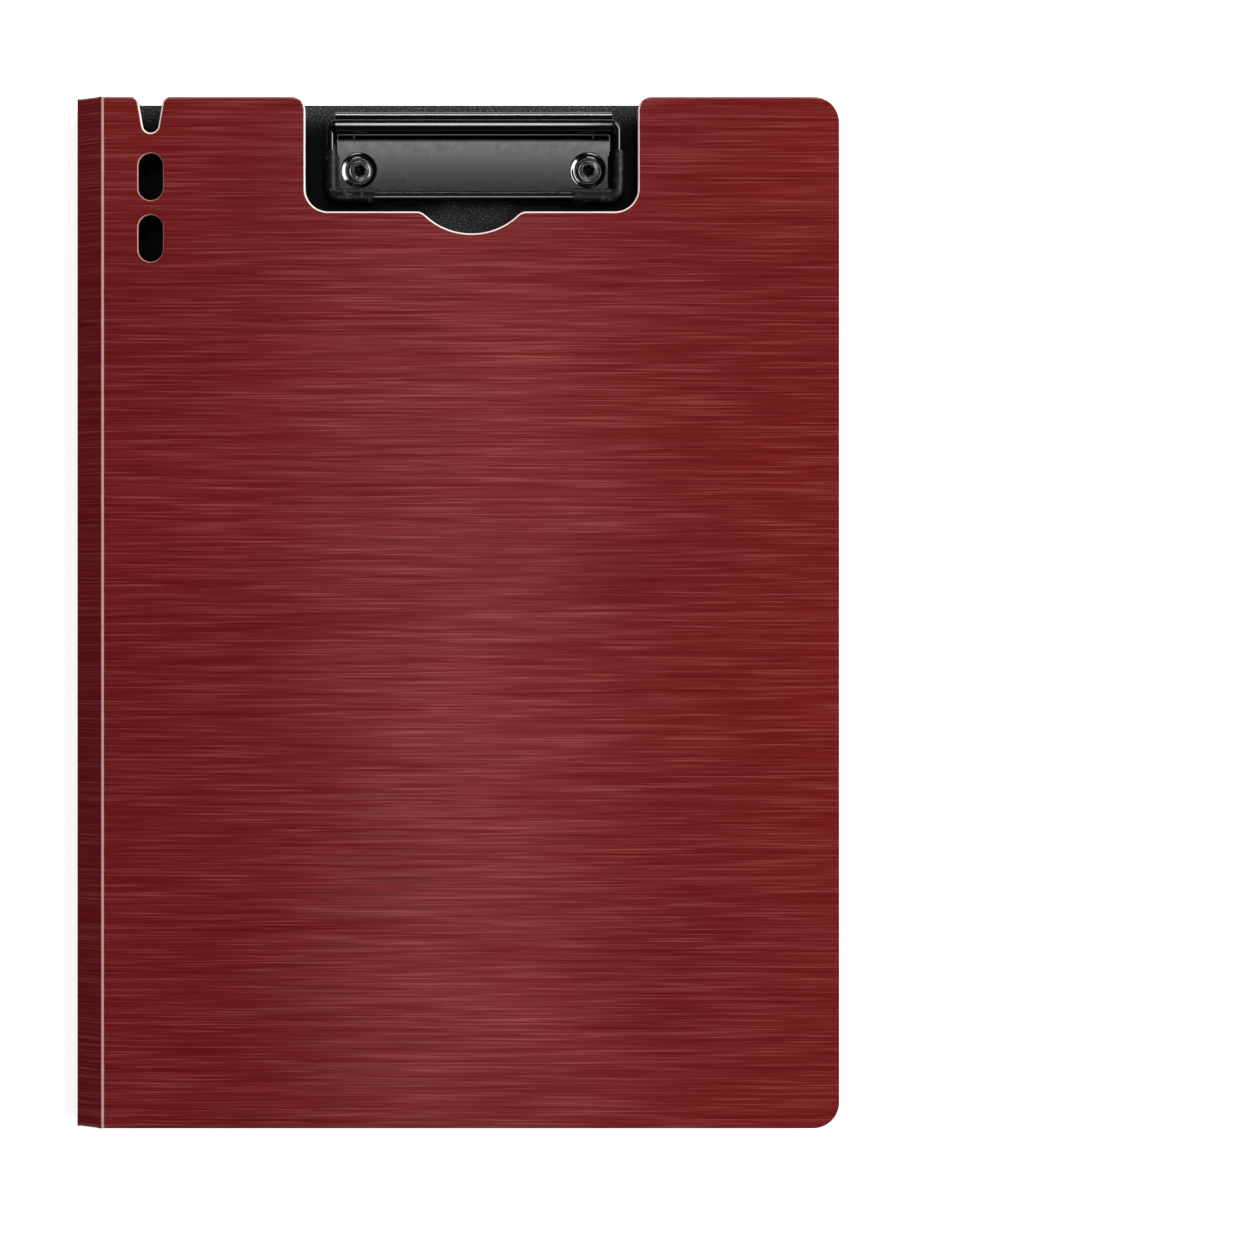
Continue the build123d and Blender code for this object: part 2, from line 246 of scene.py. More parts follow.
def edge_break(bm, height, size, fold_xs=()):
    """Rounds the edges between the flat face at a height and the cut walls, but not along folds."""
    rims = [
        edge
        for edge in bm.edges
        if all(abs(vert.co.z - height) < 0.001 for vert in edge.verts)
        and any(abs(face.normal.z) < 0.5 for face in edge.link_faces)
        and not any(all(abs(vert.co.x - x) < 0.001 for vert in edge.verts) for x in fold_xs)
    ]
    bmesh.ops.bevel(
        bm,
        geom=rims,
        offset=size,
        offset_type="OFFSET",
        segments=3,
        profile=0.5,
        affect="EDGES",
        clamp_overlap=False,
        material=-1,
    )


def make_piece(name, bm, materials, body, nodes=(), smooth=radians(35)):
    """Turns a bmesh in millimetres into a finished piece of the object."""
    bmesh.ops.scale(bm, vec=(MM, MM, MM), verts=bm.verts)
    mesh = bpy.data.meshes.new(name)
    bm.to_mesh(mesh)
    bm.free()
    mesh.polygons.foreach_set("use_smooth", [True] * len(mesh.polygons))
    mesh.set_sharp_from_angle(angle=smooth)
    for material in materials:
        mesh.materials.append(material)
    piece = bpy.data.objects.new(name, mesh)
    bpy.context.scene.collection.objects.link(piece)
    flats = piece.modifiers.new("flat_faces", "WEIGHTED_NORMAL")
    flats.keep_sharp = True
    if body:
        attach(piece, body)
    if nodes:
        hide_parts(*nodes)
    return piece


board_low, board_high = (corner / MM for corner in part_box("back_board"))
film_low, film_high = (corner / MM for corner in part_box("back_film"))
plate_low, plate_high = (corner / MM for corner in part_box("clip_plate"))
rivet_low, rivet_high = (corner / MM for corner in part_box("rivet_left"))
right_low, right_high = (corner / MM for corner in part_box("rivet_right"))
top_edge = board_high.y
free_edge = board_high.x
board_fold_x = film_low.x
corner_radius = 8.0
edge_break_size = 0.15
board_outline = [
    (board_fold_x, -top_edge, 0),
    (free_edge, -top_edge, corner_radius),
    (free_edge, top_edge, corner_radius),
    (board_fold_x, top_edge, 0),
]
rivet_y = (rivet_low.y + rivet_high.y) / 2
rivet_places = [
    ((rivet_low.x + rivet_high.x) / 2, rivet_y),
    ((right_low.x + right_high.x) / 2, rivet_y),
]
dimple_seat_radius = 5.45
dimple_seat_depth = 0.8
dimple_seat_slope = 1.4


def round_hole(x, y, radius):
    """Circle as an outline of four corners."""
    return [(x + radius * a, y + radius * b, radius) for a, b in ((-1, -1), (1, -1), (1, 1), (-1, 1))]


def mark_edge_nicks(bm, height):
    """Weight of 1 on the cut edge's vertices, in a nick attribute."""
    nick = bm.verts.layers.float.new("nick")
    for vert in bm.verts:
        vert[nick] = 1.0 if any(abs(face.normal.z) < 0.9 for face in vert.link_faces) else 0.0


black_sheet = black_sheet_material()
bm = bmesh.new()
seats = [round_hole(x, y, dimple_seat_radius) for x, y in rivet_places]
cut_sheet(bm, [board_outline, *seats], board_low.z, board_high.z)
edge_break(bm, board_high.z, edge_break_size)
back_board = make_piece("back_board_sheet", bm, [black_sheet], "back", ["back_board"])
for name in ("spine_rear_strip", "spine_front_strip"):
    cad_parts[name].data.materials.clear()
    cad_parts[name].data.materials.append(black_sheet)


# Cover board: the same black sheet, cut out round the clip, with a thumb scallop below the
# window, a V notch in the top edge and two slots for pens.
cover_low, cover_high = (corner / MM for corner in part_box("cover_board"))
skin_low, skin_high = (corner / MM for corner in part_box("cover_film"))
window_x = 2.9
window_half = 50.75
window_bottom = 122.42
window_inner_radius = 7.0
window_outer_radius = 4.3
scallop_half = 15.25
scallop_slope = radians(44.1)
scallop_blend = 3.5
slot_x = -95.1
slot_half_width = 3.75
slot_half_length = 7.15
slot_places = [top_edge - 24.5, top_edge - 43.3]
notch_top_half = 3.95
notch_bottom_half = 2.0
notch_depth = 11.0
notch_tip_radius = 2.32
notch_shoulder_radius = 2.2
cover_fold_x = skin_low.x
scallop_drop = scallop_half * tan(scallop_slope)
scallop_radius = (scallop_half / cos(scallop_slope) - scallop_blend * tan(scallop_slope / 2)) / tan(scallop_slope)
notch_floor = top_edge - notch_depth
cover_outline = [
    (cover_fold_x, -top_edge, 0),
    (free_edge, -top_edge, corner_radius),
    (free_edge, top_edge, corner_radius),
    (window_x + window_half, top_edge, window_outer_radius),
    (window_x + window_half, window_bottom, window_inner_radius),
    (window_x + scallop_half, window_bottom, scallop_blend),
    (window_x, window_bottom - scallop_drop, scallop_radius),
    (window_x - scallop_half, window_bottom, scallop_blend),
    (window_x - window_half, window_bottom, window_inner_radius),
    (window_x - window_half, top_edge, window_outer_radius),
    (slot_x + notch_top_half, top_edge, notch_shoulder_radius),
    (slot_x + notch_bottom_half, notch_floor, notch_tip_radius),
    (slot_x - notch_bottom_half, notch_floor, notch_tip_radius),
    (slot_x - notch_top_half, top_edge, notch_shoulder_radius),
    (cover_fold_x, top_edge, 0),
]
pen_slots = [
    [
        (slot_x + slot_half_width * a, y + slot_half_length * b, slot_half_width)
        for a, b in ((-1, -1), (1, -1), (1, 1), (-1, 1))
    ]
    for y in slot_places
]
bm = bmesh.new()
cut_sheet(bm, [cover_outline, *pen_slots], cover_low.z, cover_high.z)
edge_break(bm, cover_low.z, edge_break_size)
cover_board = make_piece("cover_board_sheet", bm, [black_sheet], "cover", ["cover_board"])


# Films: red foil with a printed and embossed brushed-metal look, laminated on the sheet's
# outside. The die squeezes its edge, so a pale line of bare foil runs round each cut-out. On the
# cover the line's width and tone also hold a painted highlight, set edge by edge by how light falls.
rim_width = 0.9
film_edge_size = 0.26
fold_band = 1.5


def red_film_material():
    """Brushed-look foil: long streaks along X in two sizes, fine embossed lines, and pale die-cut edges that also
    carry a painted highlight.
    """
    material = new_material("red_brushed_foil")
    band = grain(material, (80.0, 2.0, 60.0), detail=2.0)
    streak = grain(material, (34.0, 0.62, 40.0), detail=3.0)
    line = grain(material, (28.0, 0.42, 30.0), detail=1.0)
    hair = grain(material, (26.0, 0.22, 26.0), detail=2.0)
    cloud = grain(material, (90.0, 60.0, 60.0), detail=1.0)
    mixed = add_node(
        material,
        "ShaderNodeMix",
        {"data_type": "FLOAT"},
        {0: 0.5, "A": band, "B": streak},
    )
    base = ramp(
        material,
        mixed.outputs["Result"],
        [(0.36, linear(0x771B1B)), (0.48, linear(0x7F1F1F)), (0.56, linear(0x832323)), (0.66, linear(0x892827))],
    )
    light = ramp(material, line, [(0.54, (0, 0, 0, 1)), (0.72, (1, 1, 1, 1))])
    dark = ramp(material, line, [(0.28, (1, 1, 1, 1)), (0.38, (0, 0, 0, 1))])
    lit = add_node(
        material,
        "ShaderNodeMix",
        {"data_type": "RGBA"},
        {0: light, "A": base, "B": linear(0x9C4542)},
    )
    shaded = add_node(
        material,
        "ShaderNodeMix",
        {"data_type": "RGBA"},
        {0: dark, "A": lit.outputs["Result"], "B": linear(0x6E1818)},
    )
    broad = ramp(material, cloud, [(0.3, linear(0xEFEFEF)), (0.7, linear(0xFFFFFF))])
    foil = add_node(
        material,
        "ShaderNodeMix",
        {"data_type": "RGBA", "blend_type": "MULTIPLY"},
        {0: 1.0, "A": shaded.outputs["Result"], "B": broad},
    )
    rim = add_node(material, "ShaderNodeAttribute", {"attribute_name": "rim"}).outputs["Fac"]
    reach = add_node(material, "ShaderNodeAttribute", {"attribute_name": "rim_reach"}).outputs["Fac"]
    tone = add_node(material, "ShaderNodeAttribute", {"attribute_name": "rim_tone_and_highlight"}).outputs["Fac"]
    wobble = grain(material, (3.0, 3.0, 3.0))
    wide = add_node(
        material,
        "ShaderNodeMath",
        {"operation": "MULTIPLY_ADD"},
        {0: wobble, 1: 0.14, 2: -0.07},
    )
    inside = add_node(
        material,
        "ShaderNodeMath",
        {"operation": "SUBTRACT"},
        {0: reach, 1: rim},
    )
    ragged = add_node(
        material,
        "ShaderNodeMath",
        {"operation": "ADD"},
        {0: inside.outputs[0], 1: wide.outputs[0]},
    )
    mask = add_node(
        material,
        "ShaderNodeMapRange",
        {"interpolation_type": "SMOOTHSTEP"},
        {"Value": ragged.outputs[0], "From Min": -0.02, "From Max": 0.12},
    )
    # Pale edge colour: bare foil, brightened by the tone attribute as a painted highlight.
    pale_edge_and_highlight = ramp(material, tone, [(0.0, linear(0xA0605E)), (0.5, linear(0xD09C99)), (1.0, linear(0xFFECE6))])
    colour = add_node(
        material,
        "ShaderNodeMix",
        {"data_type": "RGBA"},
        {0: mask.outputs["Result"], "A": foil.outputs["Result"], "B": pale_edge_and_highlight},
    )
    bump = add_node(
        material,
        "ShaderNodeBump",
        inputs={"Strength": 0.3, "Distance": 0.012 * MM, "Height": hair},
    )
    gloss = ramp(material, mixed.outputs["Result"], [(0.36, (0.05, 0.05, 0.05, 1)), (0.64, (0.3, 0.3, 0.3, 1))])
    across = add_node(material, "ShaderNodeCombineXYZ", inputs={"Y": 1.0})
    add_node(
        material,
        "ShaderNodeBsdfPrincipled",
        inputs={
            "Base Color": colour.outputs["Result"],
            "Metallic": 0.14,
            "Roughness": 0.47,
            "Anisotropic": 1.0,
            "IOR": 1.5,
            "Specular IOR Level": gloss,
            "Normal": bump.outputs["Normal"],
            "Tangent": across.outputs["Vector"],
        },
        output="BSDF",
    )
    return material


def squeeze_rim(bm, height, rim_at, fold_xs):
    """Ring of foil round every cut edge, with the rim's distance, reach and tone as attributes."""
    outer = [face for face in bm.faces if all(abs(vert.co.z - height) < 0.001 for vert in face.verts)]
    bmesh.ops.inset_region(bm, faces=outer, thickness=rim_width, use_boundary=True, use_even_offset=True)
    rim = bm.verts.layers.float.new("rim")
    reach = bm.verts.layers.float.new("rim_reach")
    tone = bm.verts.layers.float.new("rim_tone_and_highlight")
    inner = {vert for face in outer for vert in face.verts}
    for vert in bm.verts:
        vert[rim] = 1.0 if vert in inner else 0.0
        vert[reach], vert[tone] = rim_at(vert.co.x, vert.co.y)
    edge_break(bm, height, film_edge_size, fold_xs)
    for vert in bm.verts:
        vert[reach], vert[tone] = rim_at(vert.co.x, vert.co.y)


def part_sheet(bm, place, normal):
    """Cuts the sheet's faces along a plane, so that a rim can change there."""
    bmesh.ops.bisect_plane(
        bm,
        geom=bm.verts[:] + bm.edges[:] + bm.faces[:],
        plane_co=place,
        plane_no=normal,
        dist=0.0001,
    )


def cover_pale_line_and_highlight(x, y):
    """Reach and tone of the pale line at a place on the cover: none, dull or bright, as bare foil plus a painted
    highlight set by how light falls on each edge.
    """
    near = 1.2
    in_window = abs(x - window_x) < window_half + near and y > window_bottom - near
    in_scallop = abs(x - window_x) < scallop_half + near and y > window_bottom - scallop_drop
    in_notch = abs(x - slot_x) < notch_top_half + near and y > notch_floor - near
    in_slot = abs(x - slot_x) < slot_half_width + near and any(
        abs(y - place) < slot_half_length + near for place in slot_places
    )
    # Painted highlight: brightest round the window, scallop and notch, dimmer on the slots, fold, top and right
    # edges, and none on the bottom edge, which faces away from the light.
    if in_window or in_scallop or in_notch:
        return 0.62, 1.0
    if in_slot:
        return 0.34, 0.4
    if x < cover_fold_x + near:
        return 0.66, 0.62
    if y > top_edge - near:
        return 0.7, 0.33
    if x > free_edge - near and y > corner_radius - top_edge:
        return 0.15, 0.3
    return -0.2, 0.0


def back_rim(x, y):
    """Reach and tone of the pale line on the back board's film."""
    near = 1.2
    if abs(y) > top_edge - near or x > free_edge - near:
        return 0.3, 0.45
    return -0.2, 0.0


red_film = red_film_material()
bm = bmesh.new()
cut_sheet(bm, [cover_outline, *pen_slots], skin_low.z, skin_high.z)
part_sheet(bm, (cover_fold_x + fold_band, 0, 0), (1, 0, 0))
squeeze_rim(bm, skin_high.z, cover_pale_line_and_highlight, [cover_fold_x])
cover_film = make_piece("cover_film_foil", bm, [red_film], "cover", ["cover_film"])

rivet_head_gap = 4.05
bm = bmesh.new()
head_holes = [round_hole(x, y, rivet_head_gap) for x, y in rivet_places]
cut_sheet(bm, [board_outline, *head_holes], film_low.z, film_high.z)
squeeze_rim(bm, film_low.z, back_rim, [board_fold_x])
back_film = make_piece("back_film_foil", bm, [red_film], "back", ["back_film"])
# The spine's two strips carry the same foil, between the bare webs of their folds.
fold_places = {}
for name in ("rear", "middle", "front"):
    low, high = (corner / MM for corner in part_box(f"crease_{name}"))
    fold_places[name] = (low + high) / 2
film_thickness = skin_high.z - skin_low.z
fold_setback = cover_fold_x - fold_places["front"].x


def panel_angle(first, second):
    """Lean of the panel between two folds, from the +X direction, in radians."""
    run = fold_places[second] - fold_places[first]
    return atan2(run.z, run.x)


def squeeze_ends(bm, height, fold_xs):
    """Pale line at a strip's two ends only, since its long sides are folds."""
    for end in (-1, 1):
        part_sheet(bm, (0, end * (top_edge - rim_width), 0), (0, 1, 0))
    rim = bm.verts.layers.float.new("rim")
    reach = bm.verts.layers.float.new("rim_reach")
    tone = bm.verts.layers.float.new("rim_tone_and_highlight")
    edge_break(bm, height, film_edge_size, fold_xs)
    for vert in bm.verts:
        vert[rim] = (top_edge - abs(vert.co.y)) / rim_width
        vert[reach], vert[tone] = 0.6, 0.3


def lay_on_panel(bm, fold, lean):
    """Turns a flat piece onto the panel that starts at a fold."""
    turned = Matrix.Translation(fold_places[fold]) @ Matrix.Rotation(-lean, 4, "Y")
    bmesh.ops.transform(bm, matrix=turned, verts=bm.verts)


for first, second in (("rear", "middle"), ("middle", "front")):
    width = (fold_places[second] - fold_places[first]).length
    bm = bmesh.new()
    strip_outline = [
        (fold_setback, -top_edge, 0),
        (width - fold_setback, -top_edge, 0),
        (width - fold_setback, top_edge, 0),
        (fold_setback, top_edge, 0),
    ]
    cut_sheet(bm, [strip_outline], 0, film_thickness)
    squeeze_ends(bm, film_thickness, [fold_setback, width - fold_setback])
    fold_origin = Vector((fold_places[first].x, 0, fold_places[first].z))
    lay_on_panel(bm, first, panel_angle(first, second))
    body = "spine_rear" if first == "rear" else "spine_front"
    make_piece(f"{body}_film_foil", bm, [red_film], body, [f"{body}_film"])


# Folds: where a hot bar pressed the sheet down to a thin web, the foil is stretched pale. Only the front fold draws
# this pale line, and there it is stretched foil and a painted highlight.
# Each web is bent round its fold at the angle between its two panels.
# Painted highlight: only the front fold, at the cover's edge, gets the pale line; the rear and middle folds get
# none.
fold_pale_and_highlight_reach = {"rear": -0.2, "middle": -0.2, "front": 0.46}
pale_place = 0.62
web_inner_radius = 0.12
web_end_gap = 0.01
web_leg_steps = 8
fold_leans = {
    "rear": (pi, panel_angle("rear", "middle")),
    "middle": (panel_angle("rear", "middle"), panel_angle("middle", "front")),
    "front": (panel_angle("middle", "front"), 0.0),
}


def loose_verts(geom):
    return [item for item in geom if isinstance(item, bmesh.types.BMVert)]


def loose_edges(geom):
    return [item for item in geom if isinstance(item, bmesh.types.BMEdge)]


def run_ring(bm, ring, vec):
    """Carries a section straight on and returns the new one."""
    carried = bmesh.ops.extrude_edge_only(bm, edges=ring)["geom"]
    bmesh.ops.translate(bm, verts=loose_verts(carried), vec=vec)
    new = set(loose_verts(carried))
    return [edge for edge in loose_edges(carried) if set(edge.verts) <= new]


def bend_ring(bm, ring, centre, axis, angle, steps, rise=(0, 0, 0)):
    """Carries a section round a bend or a coil and returns the new one."""
    verts = list({vert for edge in ring for vert in edge.verts})
    turned = bmesh.ops.spin(
        bm,
        geom=verts + ring,
        cent=centre,
        axis=axis,
        dvec=rise,
        angle=angle,
        steps=steps,
        use_merge=False,
    )
    return loose_edges(turned["geom_last"])


def close_ring(bm, ring):
    """Flat end on a section."""
    bmesh.ops.edgeloop_fill(bm, edges=ring)


def section_ring(bm, inner, outer, half_length):
    """Edges of a web's long thin section, from its inner to its outer radius."""
    corners = [(0, -half_length, inner), (0, half_length, inner), (0, half_length, outer), (0, -half_length, outer)]
    verts = [bm.verts.new(corner) for corner in corners]
    return [bm.edges.new((verts[index - 1], vert)) for index, vert in enumerate(verts)]


for name, (lean_before, lean_after) in fold_leans.items():
    fold_angle = lean_before - lean_after
    straight = fold_setback - web_end_gap
    bm = bmesh.new()
    onward = Vector((cos(fold_angle), 0, -sin(fold_angle)))
    first = section_ring(bm, web_inner_radius, film_thickness, top_edge)
    bmesh.ops.translate(bm, verts=bm.verts, vec=(-straight, 0, 0))
    ring = run_ring(bm, first, (straight, 0, 0))
    ring = bend_ring(bm, ring, (0, 0, 0), (0, 1, 0), fold_angle, ceil(fold_angle / ROUND_STEP))
    for step in range(web_leg_steps):
        ring = run_ring(bm, ring, onward * straight / web_leg_steps)
    close_ring(bm, first)
    close_ring(bm, ring)
    bmesh.ops.recalc_face_normals(bm, faces=bm.faces)
    rim = bm.verts.layers.float.new("rim")
    reach = bm.verts.layers.float.new("rim_reach")
    tone = bm.verts.layers.float.new("rim_tone_and_highlight")
    for vert in bm.verts:
        beyond = vert.co.dot(onward)
        vert[rim] = abs((beyond if beyond > 0 else min(vert.co.x, 0)) - pale_place) / rim_width
        vert[reach] = fold_pale_and_highlight_reach[name]
        vert[tone] = 0.62
    for face in bm.faces:
        outside = all(hypot(vert.co.x, vert.co.z) > film_thickness * 0.98 for vert in face.verts)
        face.material_index = 0 if outside and abs(face.normal.y) < 0.5 else 1
    lay_on_panel(bm, name, lean_before)
    crease = make_piece(f"crease_{name}_web", bm, [red_film, black_sheet], None, [f"crease_{name}"])
    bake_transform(crease)


# Clip plate: 0.8 mm spring steel, its rear edge rolled into the barrel that holds the bail,
# with two dished seats for the rivets, painted gloss black after it was formed.
def black_paint_material(name, colour, roughness, gloss, bump_mm):
    """Gloss black stoving paint on steel: deep, faintly wavy, with a soft haze of dust."""
    material = new_material(name)
    wave = grain(material, (2.6, 2.6, 2.6), detail=2.0)
    dust = grain(material, (0.5, 0.5, 0.5), detail=2.0)
    tone = ramp(material, dust, [(0.66, linear(colour)), (0.84, linear(0x161618))])
    haze = ramp(material, wave, [(0.3, (roughness,) * 3 + (1,)), (0.7, (roughness + 0.04,) * 3 + (1,))])
    bump = add_node(
        material,
        "ShaderNodeBump",
        inputs={"Strength": 0.5, "Distance": bump_mm * MM, "Height": wave},
    )
    add_node(
        material,
        "ShaderNodeBsdfPrincipled",
        inputs={
            "Base Color": tone,
            "Roughness": haze,
            "IOR": 1.55,
            "Specular IOR Level": gloss,
            "Normal": bump.outputs["Normal"],
        },
        output="BSDF",
    )
    return material


def ring_near(bm, x, y, radius, height):
    """Edges of the circle round a place in a flat sheet."""
    return [
        edge
        for edge in bm.edges
        if all(
            abs(hypot(vert.co.x - x, vert.co.y - y) - radius) < 0.01 and abs(vert.co.z - height) < 0.001
            for vert in edge.verts
        )
        and len(edge.link_faces) == 1
    ]


def soften(bm, edges, size, segments):
    """Rounds edges of a piece by a size in millimetres."""
    return bmesh.ops.bevel(
        bm,
        geom=edges,
        offset=size,
        offset_type="OFFSET",
        segments=segments,
        profile=0.5,
        affect="EDGES",
        clamp_overlap=True,
        material=-1,
    )


def sharp_edges(bm, angle):
    """Edges whose faces turn by more than an angle."""
    return [edge for edge in bm.edges if len(edge.link_faces) == 2 and edge.calc_face_angle(0) > angle]


clip_paint = black_paint_material("black_stoving_paint", 0x030304, 0.11, 0.9, 0.002)
plate_thickness = 0.8
barrel_radius = 3.4
barrel_roll = radians(295)
plate_corner_radius = 1.5
dimple_rim_radius = 5.4
dimple_floor_radius = 4.25
dimple_depth = 0.7
shank_hole_radius = 1.65
clip_x = (plate_low.x + plate_high.x) / 2
plate_half = (plate_high.x - plate_low.x) / 2
plate_bottom = board_high.z
plate_top = plate_bottom + plate_thickness
dimple_floor = plate_top - dimple_depth
barrel_y = plate_high.y - barrel_radius
barrel_z = plate_high.z - barrel_radius
plate_outline = [
    (plate_low.x, plate_low.y, plate_corner_radius),
    (plate_high.x, plate_low.y, plate_corner_radius),
    (plate_high.x, barrel_y, 0),
    (plate_low.x, barrel_y, 0),
]
bm = bmesh.new()
fill_outlines(bm, [plate_outline, *[round_hole(x, y, dimple_rim_radius) for x, y in rivet_places]], plate_top)
for x, y in rivet_places:
    rim = ring_near(bm, x, y, dimple_rim_radius, plate_top)
    pressed = bmesh.ops.extrude_edge_only(bm, edges=rim)["geom"]
    bmesh.ops.translate(bm, verts=loose_verts(pressed), vec=(0, 0, -dimple_depth))
    shrink = dimple_floor_radius / dimple_rim_radius
    to_hole = Matrix.Translation((-x, -y, 0))
    bmesh.ops.scale(bm, vec=(shrink, shrink, 1), space=to_hole, verts=loose_verts(pressed))
    floor_ring = [edge for edge in loose_edges(pressed) if len(edge.link_faces) == 1]
    middle = bmesh.ops.extrude_edge_only(bm, edges=floor_ring)["geom"]
    shrink = shank_hole_radius / dimple_floor_radius
    bmesh.ops.scale(bm, vec=(shrink, shrink, 1), space=to_hole, verts=loose_verts(middle))
    soften(bm, rim + floor_ring, 0.3, 6)
root = [
    edge
    for edge in bm.edges
    if all(abs(vert.co.y - barrel_y) < 0.001 for vert in edge.verts)
]
bmesh.ops.spin(
    bm,
    geom=root + list({vert for edge in root for vert in edge.verts}),
    cent=(0, barrel_y, barrel_z),
    axis=(1, 0, 0),
    angle=barrel_roll,
    steps=ceil(barrel_roll / ROUND_STEP),
    use_merge=False,
)
bmesh.ops.remove_doubles(bm, verts=bm.verts, dist=0.0005)
bmesh.ops.recalc_face_normals(bm, faces=bm.faces)
flat = max(bm.faces, key=lambda face: face.calc_area())
bmesh.ops.solidify(bm, geom=bm.faces[:], thickness=plate_thickness if flat.normal.z > 0 else -plate_thickness)
bmesh.ops.recalc_face_normals(bm, faces=bm.faces)
soften(bm, sharp_edges(bm, radians(60)), 0.02, 2)
make_piece("clip_plate_painted", bm, [clip_paint], "back", ["clip_plate"])


# Rivets: tubular steel rivets from the back. The flat head lies flush in the back film and the
# tube's front end was set outwards with a star punch, so it shows a ring with a split hole.
def blackened_steel_material():
    """Blackened steel, worn to dull grey on the high rings that the punch rubbed, and dark below them, which also
    paints shade into the split hole.
    """
    material = new_material("blackened_steel")
    wear = grain(material, (1.4, 1.4, 1.4), detail=2.0)
    tone = ramp(material, wear, [(0.35, linear(0x4A4A4D)), (0.55, linear(0x5C5C60)), (0.72, linear(0x7E7E82))])
    rough = ramp(material, wear, [(0.4, (0.36, 0.36, 0.36, 1)), (0.7, (0.26, 0.26, 0.26, 1))])
    place = add_node(material, "ShaderNodeTexCoord").outputs["Object"]
    along = add_node(material, "ShaderNodeSeparateXYZ", inputs={0: place})
    # Painted shade: below the top rings the steel turns dark, so the split hole and the sunk flange read as shaded;
    # the blackening is also the steel's own colour there.
    blackening_and_hole_shade = add_node(
        material,
        "ShaderNodeMapRange",
        inputs={
            "Value": along.outputs["Z"],
            "From Min": (rivet_high.z - 0.6) * MM,
            "From Max": (rivet_high.z - 0.25) * MM,
        },
    )
    tone = add_node(
        material,
        "ShaderNodeMix",
        {"data_type": "RGBA"},
        {0: blackening_and_hole_shade.outputs["Result"], "A": linear(0x101011), "B": tone},
    ).outputs["Result"]
    add_node(
        material,
        "ShaderNodeBsdfPrincipled",
        inputs={"Base Color": tone, "Metallic": 0.85, "Roughness": rough},
        output="BSDF",
    )
    return material


blackened_steel = blackened_steel_material()
rivet_profile = [
    (0, rivet_low.z),
    (4.0, rivet_low.z),
    (4.0, 0.4),
    (1.6, 0.4),
    (1.6, dimple_floor),
    (3.7, dimple_floor),
    (3.7, dimple_floor + 0.3),
    (3.0, rivet_high.z - 0.04),
    (2.75, rivet_high.z - 0.16),
    (2.3, rivet_high.z),
    (1.75, rivet_high.z - 0.1),
    (1.25, rivet_high.z - 0.7),
    (1.2, rivet_high.z - 1.6),
    (0, rivet_high.z - 1.6),
]
star_points = 6
rivet_steps = 48
for name, (x, y) in zip(("left", "right"), rivet_places):
    bm = bmesh.new()
    verts = [bm.verts.new((radius, 0, height)) for radius, height in rivet_profile]
    profile = [bm.edges.new(pair) for pair in zip(verts, verts[1:])]
    bmesh.ops.spin(
        bm,
        geom=verts + profile,
        cent=(0, 0, 0),
        axis=(0, 0, 1),
        angle=2 * pi,
        steps=rivet_steps,
        use_merge=True,
    )
    bmesh.ops.remove_doubles(bm, verts=bm.verts, dist=0.001)
    bmesh.ops.recalc_face_normals(bm, faces=bm.faces)
    soften(bm, sharp_edges(bm, radians(50)), 0.08, 2)
    for point in range(star_points):
        angle = 2 * pi * point / star_points + 0.3
        stretch = 1.3 + 0.12 * sin(5 * point)
        tip = [
            vert
            for vert in bm.verts
            if 1.1 < hypot(vert.co.x, vert.co.y) < 2.0
            and vert.co.z > rivet_high.z - 1.2
            and Vector((cos(angle), sin(angle))).angle(vert.co.xy) < radians(9)
        ]
        bmesh.ops.scale(bm, vec=(stretch, stretch, 1), verts=tip)
    bmesh.ops.translate(bm, verts=bm.verts, vec=(x, y, 0))
    make_piece(f"rivet_{name}_set", bm, [blackened_steel], "back", [f"rivet_{name}"])


# Bail: one 3 mm spring wire bent four times. Its two ends meet inside the barrel, where it
# turns, and its straight bar grips the paper. It is painted with the plate.
wire_paint = black_paint_material("black_wire_paint", 0x030304, 0.11, 0.42, 0.004)
bail_low, bail_high = (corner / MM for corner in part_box("clip_bail"))
wire_radius = 1.5
wire_sides = 32
bail_bend_radius = 2.5
bail_end_gap = 3.0
bar_y = bail_low.y + wire_radius
bar_z = bail_low.z + wire_radius
bail_reach = hypot(barrel_y - bar_y, barrel_z - bar_z)
bail_slope = atan2(barrel_z - bar_z, barrel_y - bar_y)
bail_half = (bail_high.x - bail_low.x) / 2 - wire_radius


def start_ring(bm, radius, sides, place, facing):
    """Circle of wire section at a place, facing along an axis letter."""
    turn = {"X": Matrix.Rotation(pi / 2, 4, "Y"), "Y": Matrix.Rotation(pi / 2, 4, "X")}[facing]
    matrix = Matrix.Translation(place) @ turn
    made = bmesh.ops.create_circle(bm, cap_ends=False, radius=radius, segments=sides, matrix=matrix)
    return list({edge for vert in made["verts"] for edge in vert.link_edges})


def place_on_bail(bm):
    """Carries a piece drawn round the barrel's axis to its place on the resting bail."""
    turned = Matrix.Translation((clip_x, barrel_y, barrel_z)) @ Matrix.Rotation(bail_slope, 4, "X")
    bmesh.ops.transform(bm, matrix=turned, verts=bm.verts)


